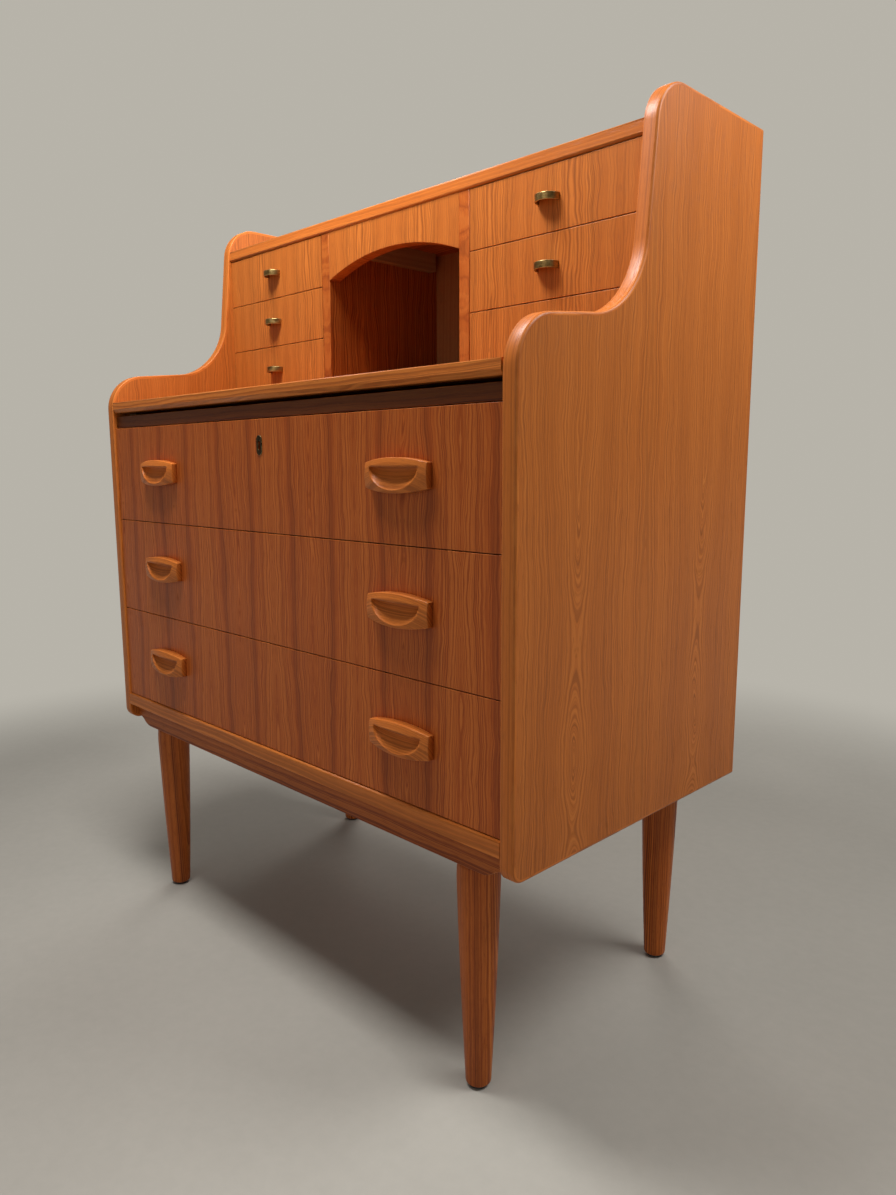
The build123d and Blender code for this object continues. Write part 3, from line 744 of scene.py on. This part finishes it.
def boards():
    """Solid edges of the boards, the recessed rail and the uprights of the niche."""
    nosing("bottom_nosing", "bottom_lipping", 0.0022, 0.0012)
    nosing("top_nosing", "top_lipping", 0.0022, 0.0026)
    recessed_rail()
    leaf_nosing()
    for hand in HANDS:
        node = f"niche_wall_{hand}"
        shape = block_of(node)
        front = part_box(node)[0].y
        soften(shape, edges_where(shape, lambda p: near(p.y, front)), ARRIS, 2)
        piece(f"niche_upright_{hand}", shape, niche_veneer, "carcase", [node])


def is_under_edge(edge):
    """An edge where the curved underside of a board meets one of its upright faces."""
    faces = edge.link_faces
    return any(face.smooth for face in faces) and any(abs(face.normal.y) > 0.9 for face in faces)


def arch_board():
    """Board with a low arch in its lower edge, over the niche's mouth."""
    steps, rise = 32, 0.0245
    low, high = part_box("arch_valance")
    half = high.x
    radius = (half**2 + rise**2) / (2 * rise)
    reach = math.asin(half / radius)
    angles = [reach - 2 * reach * step / steps for step in range(steps + 1)]
    centre = low.z + rise - radius
    arch = [(radius * math.sin(angle), centre + radius * math.cos(angle)) for angle in angles]
    corners = [(-half, high.z), (half, high.z)] + arch
    shape = outline_face(corners, lambda x, z: (x, low.y, z))
    thicken(shape, (0, high.y - low.y, 0))
    for face in shape.faces:
        face.smooth = face.normal.z < -0.5
    soften(shape, [edge for edge in shape.edges if is_under_edge(edge)], 0.0007, 2)
    piece("arch_board", shape, hutch_veneer, "carcase", ["arch_valance"])


def base_rails():
    """Cross rails under the carcase, whose ends rise in an ogee."""
    clearance, ogee_start, ogee_end, sweep, end_height = 0.0005, 0.027, 0.0095, 0.009, 0.0125
    for place in ("front", "rear"):
        low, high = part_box(f"base_rail_{place}")
        shoulder = low.z + end_height
        slope = math.atan2(shoulder - low.z, ogee_start - ogee_end)
        radius = sweep / math.tan(slope / 2)
        half = high.x - clearance
        right = [(half, high.z), (half, shoulder), (half - ogee_end, shoulder), (half - ogee_start, low.z)]
        left = [(-x, z) for x, z in reversed(right)]
        radii = [0.0, 0.0, radius, radius, radius, radius, 0.0, 0.0]
        shape = outline_face(right + left, lambda x, z: (x, low.y, z), radii)
        thicken(shape, (0, high.y - low.y, 0))
        for face in shape.faces:
            face.smooth = face.normal.z < -0.2 and abs(face.normal.y) < 0.5
        soften(shape, [edge for edge in shape.edges if is_under_edge(edge)], 0.0010, 3)
        piece(f"shaped_rail_{place}", shape, rail_teak, "carcase", [f"base_rail_{place}"])


# ---- legs ---------------------------------------------------------------------------------------------


def turned(profile, centre, steps=64):
    """A shape turned about an upright axis from a profile of radius and height, closed on the axis."""
    shape = fresh()
    verts = [shape.verts.new((radius, 0, height)) for radius, height in profile]
    edges = [shape.edges.new(pair) for pair in zip(verts, verts[1:])]
    bmesh.ops.spin(
        shape,
        geom=verts + edges,
        cent=(0, 0, 0),
        axis=(0, 0, 1),
        dvec=(0, 0, 0),
        angle=math.tau,
        steps=steps,
        use_merge=True,
        use_duplicate=False,
    )
    bmesh.ops.remove_doubles(shape, verts=shape.verts, dist=1e-6)
    bmesh.ops.recalc_face_normals(shape, faces=shape.faces)
    bmesh.ops.translate(shape, vec=centre, verts=shape.verts)
    for face in shape.faces:
        face.smooth = abs(face.normal.z) < 0.98
    return shape


def rounded_foot(radius, rounding, steps):
    """The start of a turned profile: flat underneath, then round up to its full radius."""
    profile = [(0.0, 0.0), (radius - rounding, 0.0)]
    for step in range(1, steps + 1):
        angle = math.pi / 2 * step / steps
        profile.append((radius - rounding + rounding * math.sin(angle), rounding * (1 - math.cos(angle))))
    return profile


def legs():
    """Turned legs, fullest just below the top, with softly rounded feet."""
    ankle, full, neck, full_level, rounding, belly = 0.0139, 0.0233, 0.0224, 0.236, 0.003, 0.0007
    for node in LEG_NAMES:
        low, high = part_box(node)
        height, widest = high.z - low.z, full_level - low.z
        profile = rounded_foot(ankle, rounding, 5)
        for step in range(1, 13):
            share = step / 12
            swell = belly * math.sin(math.pi * share)
            profile.append((ankle + (full - ankle) * share + swell, rounding + (widest - rounding) * share))
        for step in range(1, 5):
            share = step / 4
            profile.append((full - (full - neck) * share**2, widest + (height - widest) * share))
        profile.append((0.0, height))
        centre = ((low.x + high.x) / 2, (low.y + high.y) / 2, low.z)
        piece(f"turned_{node}", turned(profile, centre), leg_teak, "carcase", [node])


# ---- drawer pulls -------------------------------------------------------------------------------------

PULL_LENGTH = 0.092
PULL_END_HEIGHT = 0.0255
PULL_BOW = 0.005  # how far the upper and lower edges bow out
PULL_REACH = DRAWER_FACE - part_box("drawer_bottom_pulls")[0].y
PULL_END_REACH = 0.0085  # the pull stands out less far at its ends than in the middle
PULL_FALL, PULL_HALF = 0.0028, 0.0178  # how far the face falls back at this distance above its middle
PULL_SPREAD = 0.251  # from the middle of the drawer to the middle of a pull
POCKET_LENGTH = 0.072
POCKET_LIFT = 0.0085  # straight upper edge of the pocket, over the middle of the pull
POCKET_PATH = (  # depth into the pull and drop below the pocket's upper edge, in the middle of the pocket
    (0.0000, -0.0007),
    (0.0004, -0.0002),
    (0.0012, -0.0002),
    (0.0040, -0.0016),
    (0.0078, -0.0028),
    (0.0100, -0.0016),
    (0.0108, 0.0012),
    (0.0110, 0.0034),
    (0.0107, 0.0062),
    (0.0097, 0.0090),
    (0.0080, 0.0118),
    (0.0062, 0.0146),
    (0.0045, 0.0172),
    (0.0029, 0.0196),
    (0.0014, 0.0217),
    (0.0004, 0.0228),
    (0.0000, 0.0231),
)


def pull_slice(x):
    """Points down the carved face of a pull at a distance from its middle, each as depth and height."""
    half, pocket_half, rows = PULL_LENGTH / 2, POCKET_LENGTH / 2, 5
    edge = PULL_END_HEIGHT / 2 + PULL_BOW * (1 - (x / half) ** 2)
    open_share = math.sqrt(max(0.0, 1 - (x / pocket_half) ** 2))
    width_share = open_share**0.55
    pocket = []
    for depth, drop in POCKET_PATH:
        pocket.append((depth * width_share, POCKET_LIFT - drop * (open_share if drop > 0 else width_share)))
    top, bottom = pocket[0][1], pocket[-1][1]
    above = [(0.0, edge + (top - edge) * row / rows) for row in range(rows)]
    below = [(0.0, bottom + (-edge - bottom) * (row + 1) / rows) for row in range(rows)]
    crown = (PULL_REACH - PULL_END_REACH) * (x / half) ** 2
    points = []
    for depth, z in above + pocket + below:
        face = PULL_REACH - crown - PULL_FALL * (z / PULL_HALF) ** 2
        points.append((face - depth, z))
    return points


def carved_pull(name, centre, body, stands_for):
    """A teak pull carved from one block: crowned face, bowed edges and a scooped pocket for the fingers."""
    half, pocket_half = PULL_LENGTH / 2, POCKET_LENGTH / 2
    pocket_steps, shoulder_steps = 40, 6
    columns = [-half + (half - pocket_half) * step / shoulder_steps for step in range(shoulder_steps)]
    for step in range(pocket_steps + 1):
        columns.append(pocket_half * math.sin(math.pi * (step / pocket_steps - 0.5)))
    columns += [-x for x in reversed(columns[:shoulder_steps])]
    slices = [pull_slice(x) for x in columns]
    last_column, last_row = len(columns) - 1, len(slices[0]) - 1
    shape = fresh()
    bmesh.ops.create_grid(shape, x_segments=last_column, y_segments=last_row, size=1.0)
    for vert in shape.verts:
        column = round((vert.co.x + 1) / 2 * last_column)
        row = last_row - round((vert.co.y + 1) / 2 * last_row)
        reach, z = slices[column][row]
        vert.co = (columns[column], -reach, z)
    bmesh.ops.remove_doubles(shape, verts=shape.verts, dist=0.00004)
    rim = [edge for edge in shape.edges if edge.is_boundary]
    made = bmesh.ops.extrude_edge_only(shape, edges=rim)
    for item in made["geom"]:
        if isinstance(item, bmesh.types.BMVert):
            item.co.y = 0.0
    back = [edge for edge in shape.edges if edge.is_boundary]
    bmesh.ops.holes_fill(shape, edges=back, sides=0)
    bmesh.ops.recalc_face_normals(shape, faces=shape.faces)
    for face in shape.faces:
        face.smooth = True
    outline = [edge for edge in shape.edges if is_pull_rim(edge)]
    ends = [edge for edge in shape.edges if is_pull_corner(edge, half)]
    soften(shape, outline + ends, 0.0023, 4)
    for face in shape.faces:
        if face.normal.y > 0.99:
            face.smooth = False
    bmesh.ops.translate(shape, vec=centre, verts=shape.verts)
    piece(name, shape, pull_teak, body, stands_for)


def is_pull_rim(edge):
    """An edge where the carved face turns into the side wall."""
    if len(edge.link_faces) != 2 or any(near(vert.co.y, 0) for vert in edge.verts):
        return False
    walls = [any(near(vert.co.y, 0) for vert in face.verts) for face in edge.link_faces]
    return walls[0] != walls[1]


def is_pull_corner(edge, half):
    """One of the four short edges from front to back at the pull's ends."""
    first, second = (vert.co for vert in edge.verts)
    corner = near(abs(first.x), half) and near(abs(first.z), PULL_END_HEIGHT / 2)
    return corner and near(first.x, second.x) and near(first.z, second.z)


def wooden_pulls():
    """Two pulls on each long drawer."""
    for name in LONG_NAMES:
        low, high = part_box(f"drawer_{name}_pulls")
        for hand, sign in HANDS.items():
            centre = (sign * PULL_SPREAD, DRAWER_FACE, (low.z + high.z) / 2)
            node = [f"drawer_{name}_pulls"] if hand == "left" else []
            carved_pull(f"pull_{name}_{hand}", centre, f"drawer_{name}", node)


def brass_cups():
    """Half-round brass pulls, turned hollow, on the small drawers."""
    wall = 0.0018
    for name in SMALL_NAMES:
        node = f"small_drawer_{name}_pull"
        low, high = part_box(node)
        radius, height = (high.x - low.x) / 2, high.z - low.z
        shape = fresh()
        outline = [
            (0.0, height),
            (radius, height),
            (radius, 0.0),
            (radius - wall, 0.0),
            (radius - wall, height - wall),
            (0.0, height - wall),
        ]
        start = shape.faces.new([shape.verts.new((x, 0, z)) for x, z in outline])
        bmesh.ops.spin(
            shape,
            geom=[start],
            cent=(0, 0, 0),
            axis=(0, 0, 1),
            dvec=(0, 0, 0),
            angle=-math.pi,
            steps=40,
            use_merge=False,
            use_duplicate=False,
        )
        bmesh.ops.remove_doubles(shape, verts=shape.verts, dist=1e-6)
        bmesh.ops.recalc_face_normals(shape, faces=shape.faces)
        for face in shape.faces:
            face.smooth = abs(face.normal.z) < 0.5 and face.calc_center_median().length > 0.001
        rims = ((height, radius, 0.0005, 4), (0, radius, 0.0004, 2), (0, radius - wall, 0.0003, 1))
        for level, reach, width, segments in rims:
            rim = edges_where(shape, lambda p: near(p.z, level) and near(p.xy.length, reach, 1e-4))
            curved = [edge for edge in rim if abs(edge.verts[0].co.y + edge.verts[1].co.y) > 1e-6]
            soften(shape, curved, width, segments)
        bmesh.ops.translate(shape, vec=((low.x + high.x) / 2, HUTCH_FACE, low.z), verts=shape.verts)
        piece(f"brass_cup_{name}", shape, brass, f"small_drawer_{name}", [node])


def keyhole_plate():
    """Oval key plate with softened front edges, pierced by the keyhole."""
    low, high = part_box("escutcheon")
    half, radius = (high.x - low.x) / 2, 0.0024
    neck, foot, length = 0.0013, 0.0030, 0.0110
    middle = (low.z + high.z) / 2
    straight = (high.z - low.z) / 2 - half
    turns = [math.pi * step / 16 for step in range(17)]
    crown = [(half * math.cos(angle), middle + straight + half * math.sin(angle)) for angle in turns]
    base = [(-x, 2 * middle - z) for x, z in crown]
    bow_centre = middle + length / 2 - radius
    start = math.asin(neck / radius)
    bow_turns = [start + (math.tau - 2 * start) * step / 20 for step in range(21)]
    hole = [(radius * math.sin(turn), bow_centre - radius * math.cos(turn)) for turn in bow_turns]
    hole += [(-foot, middle - length / 2), (foot, middle - length / 2)]
    shape = outline_face(crown + base, lambda x, z: (x, low.y, z))
    join(shape, outline_face(hole, lambda x, z: (x, low.y, z)))
    bmesh.ops.delete(shape, geom=shape.faces[:], context="FACES_ONLY")
    bmesh.ops.triangle_fill(shape, edges=shape.edges[:], use_beauty=True, use_dissolve=False)
    thicken(shape, (0, high.y - low.y, 0))
    for face in shape.faces:
        face.smooth = abs(face.normal.y) < 0.5

    def front_edge(edge):
        """An edge round the front of the plate or round the keyhole."""
        flat = [abs(face.normal.y) > 0.5 for face in edge.link_faces]
        return len(flat) == 2 and flat[0] != flat[1] and near(edge.verts[0].co.y, low.y)

    soften(shape, [edge for edge in shape.edges if front_edge(edge)], 0.00030, 2)
    piece("keyhole_plate", shape, old_brass, "drawer_top", ["escutcheon"])


def screw_places():
    """Where the screws go: along the boards, and up both sides of the back panel."""
    rows = 5
    boards_behind = [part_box(node) for node in ("bottom_board", "hutch_floor", "top_board")]
    levels = [(low.z + high.z) / 2 for low, high in boards_behind]
    places = [(x, z) for x in (-INNER / 2, 0, INNER / 2) for z in levels]
    foot, top = boards_behind[0][0].z, boards_behind[-1][0].z
    spacing = (top - foot) / rows
    edge = (INNER + REBATE) / 2
    places += [(x, foot + spacing * (row + 0.5)) for x in (-edge, edge) for row in range(rows)]
    return places


def screw_head(height):
    """A flat-slotted screw head with a rounded rim."""
    radius, rounding, slot, slot_depth = 0.0035, 0.0007, 0.00045, 0.0005
    head = fresh()
    bmesh.ops.create_circle(head, cap_ends=True, segments=32, radius=radius)
    for side in (-1, 1):
        cut_through(head, (0, side * slot, 0), (0, 1, 0))
    thicken(head, (0, 0, height))
    tops = [face for face in head.faces if face.normal.z > 0.5]
    sunk = [face for face in tops if abs(face.calc_center_median().y) < slot / 2]
    sink(head, sunk, (0, 0, -slot_depth))
    rim = edges_where(head, lambda p: near(p.z, height) and near(p.xy.length, radius, 1e-4))
    rim = [edge for edge in rim if all(abs(vert.co.y) > slot - 1e-6 for vert in edge.verts)]
    soften(head, rim, rounding, 4)
    return head


def back_fixings():
    """Screw heads round the back panel, with their slots every way round."""
    seat, slant = BACK_PANEL[1].y, 37.0
    shape = fresh()
    for index, (x, z) in enumerate(screw_places()):
        head = screw_head(REAR - seat)
        turn = Matrix.Rotation(math.radians(slant * index), 4, "Z")
        tip = Matrix.Rotation(math.radians(-90.0), 4, "X")
        place = Matrix.Translation((x, seat, z)) @ tip @ turn
        bmesh.ops.transform(head, matrix=place, verts=head.verts)
        join(shape, head)
    piece("back_fixings", shape, steel, "carcase", ["back_screws"])


def foot_pads():
    """Hard glides under the legs, with rounded edges."""
    radius, rounding, height = 0.011, 0.0012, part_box("foot_glides")[1].z
    profile = rounded_foot(radius, rounding, 4) + [(radius, height), (0.0, height)]
    shape = fresh()
    for node in LEG_NAMES:
        low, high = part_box(node)
        join(shape, turned(profile, ((low.x + high.x) / 2, (low.y + high.y) / 2, 0), 40))
    piece("foot_pads", shape, glide_finish, "carcase", ["foot_glides"])


# ---- what keeps its CAD shape -------------------------------------------------------------------------

CAD_FINISHES = {
    board_teak: ["bottom_board", "hutch_floor", "top_board", "leaf_board"],
    inner_wood: [
        "niche_cleats",
        "leaf_bearers",
        "drawer_runners",
        "hutch_runners",
        "leg_bearers",
        "leaf_stops",
    ],
    back_wood: ["back_panel"],
    steel: ["leg_bolts", "lock_case", "lock_bolt"],
}
for finish, nodes in CAD_FINISHES.items():
    for node in nodes:
        paint(node, finish)
for name in LONG_NAMES:
    paint(f"drawer_{name}_front", front_veneer)
    paint(f"drawer_{name}_box", pale_wood)
for name in SMALL_NAMES:
    paint(f"small_drawer_{name}_front", hutch_veneer)
    paint(f"small_drawer_{name}_box", pale_wood)

side_panels()
boards()
arch_board()
base_rails()
legs()
wooden_pulls()
brass_cups()
keyhole_plate()
back_fixings()
foot_pads()

# ---- studio -------------------------------------------------------------------------------------------

FLOOR_RADIUS = 14.0
CAMERA_PLACE = (0.9020, -0.7925, 0.6604)
CAMERA_TURN, CAMERA_DIP, CAMERA_ROLL = 44.99, 8.73, -0.19  # degrees
FOCAL_LENGTH = 26.08  # millimetres, on a 36 mm wide frame
LAMPS = (  # name, place, target, size and power in watts
    ("overhead", (-0.05, -0.36, 1.66), (0.0, -0.05, 0.70), 0.36, 17.5),
    ("right_window", (0.98, 0.36, 1.56), (0.40, 0.05, 0.95), 0.60, 14.0),
    ("back_fill", (-1.30, 1.70, 1.90), (0.0, 0.20, 0.50), 1.20, 18.0),
    ("front_fill", (0.50, -2.30, 1.25), (0.0, 0.0, 0.55), 1.50, 4.0),
)


def studio():
    """Pale floor, soft lights and the camera."""
    ground = bmesh.new()
    bmesh.ops.create_circle(ground, cap_ends=True, segments=96, radius=FLOOR_RADIUS)
    mesh = bpy.data.meshes.new("floor")
    ground.to_mesh(mesh)
    ground.free()
    mesh.materials.append(floor_finish)
    floor = bpy.data.objects.new("floor", mesh)
    bpy.context.scene.collection.objects.link(floor)

    bpy.context.scene.world = pale_room()
    for lamp in LAMPS:
        area_light(*lamp)

    lens = bpy.data.cameras.new("camera")
    lens.lens = FOCAL_LENGTH
    lens.sensor_width = 36.0
    lens.clip_start = 0.01
    lens.clip_end = 100.0
    camera = bpy.data.objects.new("camera", lens)
    bpy.context.scene.collection.objects.link(camera)
    turn = Matrix.Rotation(math.radians(CAMERA_TURN), 4, "Z")
    tip = Matrix.Rotation(math.radians(90.0 - CAMERA_DIP), 4, "X")
    roll = Matrix.Rotation(math.radians(CAMERA_ROLL), 4, "Z")
    camera.matrix_world = Matrix.Translation(CAMERA_PLACE) @ turn @ tip @ roll
    bpy.context.scene.camera = camera
    bpy.context.scene.view_settings.view_transform = "Standard"


def pale_room():
    """A pale plain backdrop all round, which gives less light than it shows."""
    room = Finish(bpy.data.worlds.new("pale_room"))
    fill = room.node("ShaderNodeBackground", inputs={"Color": (1.0, 0.96, 0.90), "Strength": 0.14})
    backdrop = room.node("ShaderNodeBackground", inputs={"Color": BACKDROP, "Strength": 1.0})
    seen = room.node("ShaderNodeLightPath", output="Is Camera Ray")
    light = room.node("ShaderNodeMixShader", inputs=[seen, fill, backdrop])
    room.node("ShaderNodeOutputWorld", inputs=[light])
    return room.owner


def area_light(name, place, target, size, power):
    """A square soft light that points at a target."""
    lamp = bpy.data.lights.new(name, "AREA")
    lamp.size = size
    lamp.energy = power
    light = bpy.data.objects.new(name, lamp)
    bpy.context.scene.collection.objects.link(light)
    light.visible_camera = False
    light.location = place
    light.rotation_euler = (Vector(target) - Vector(place)).to_track_quat("-Z", "Y").to_euler()


studio()
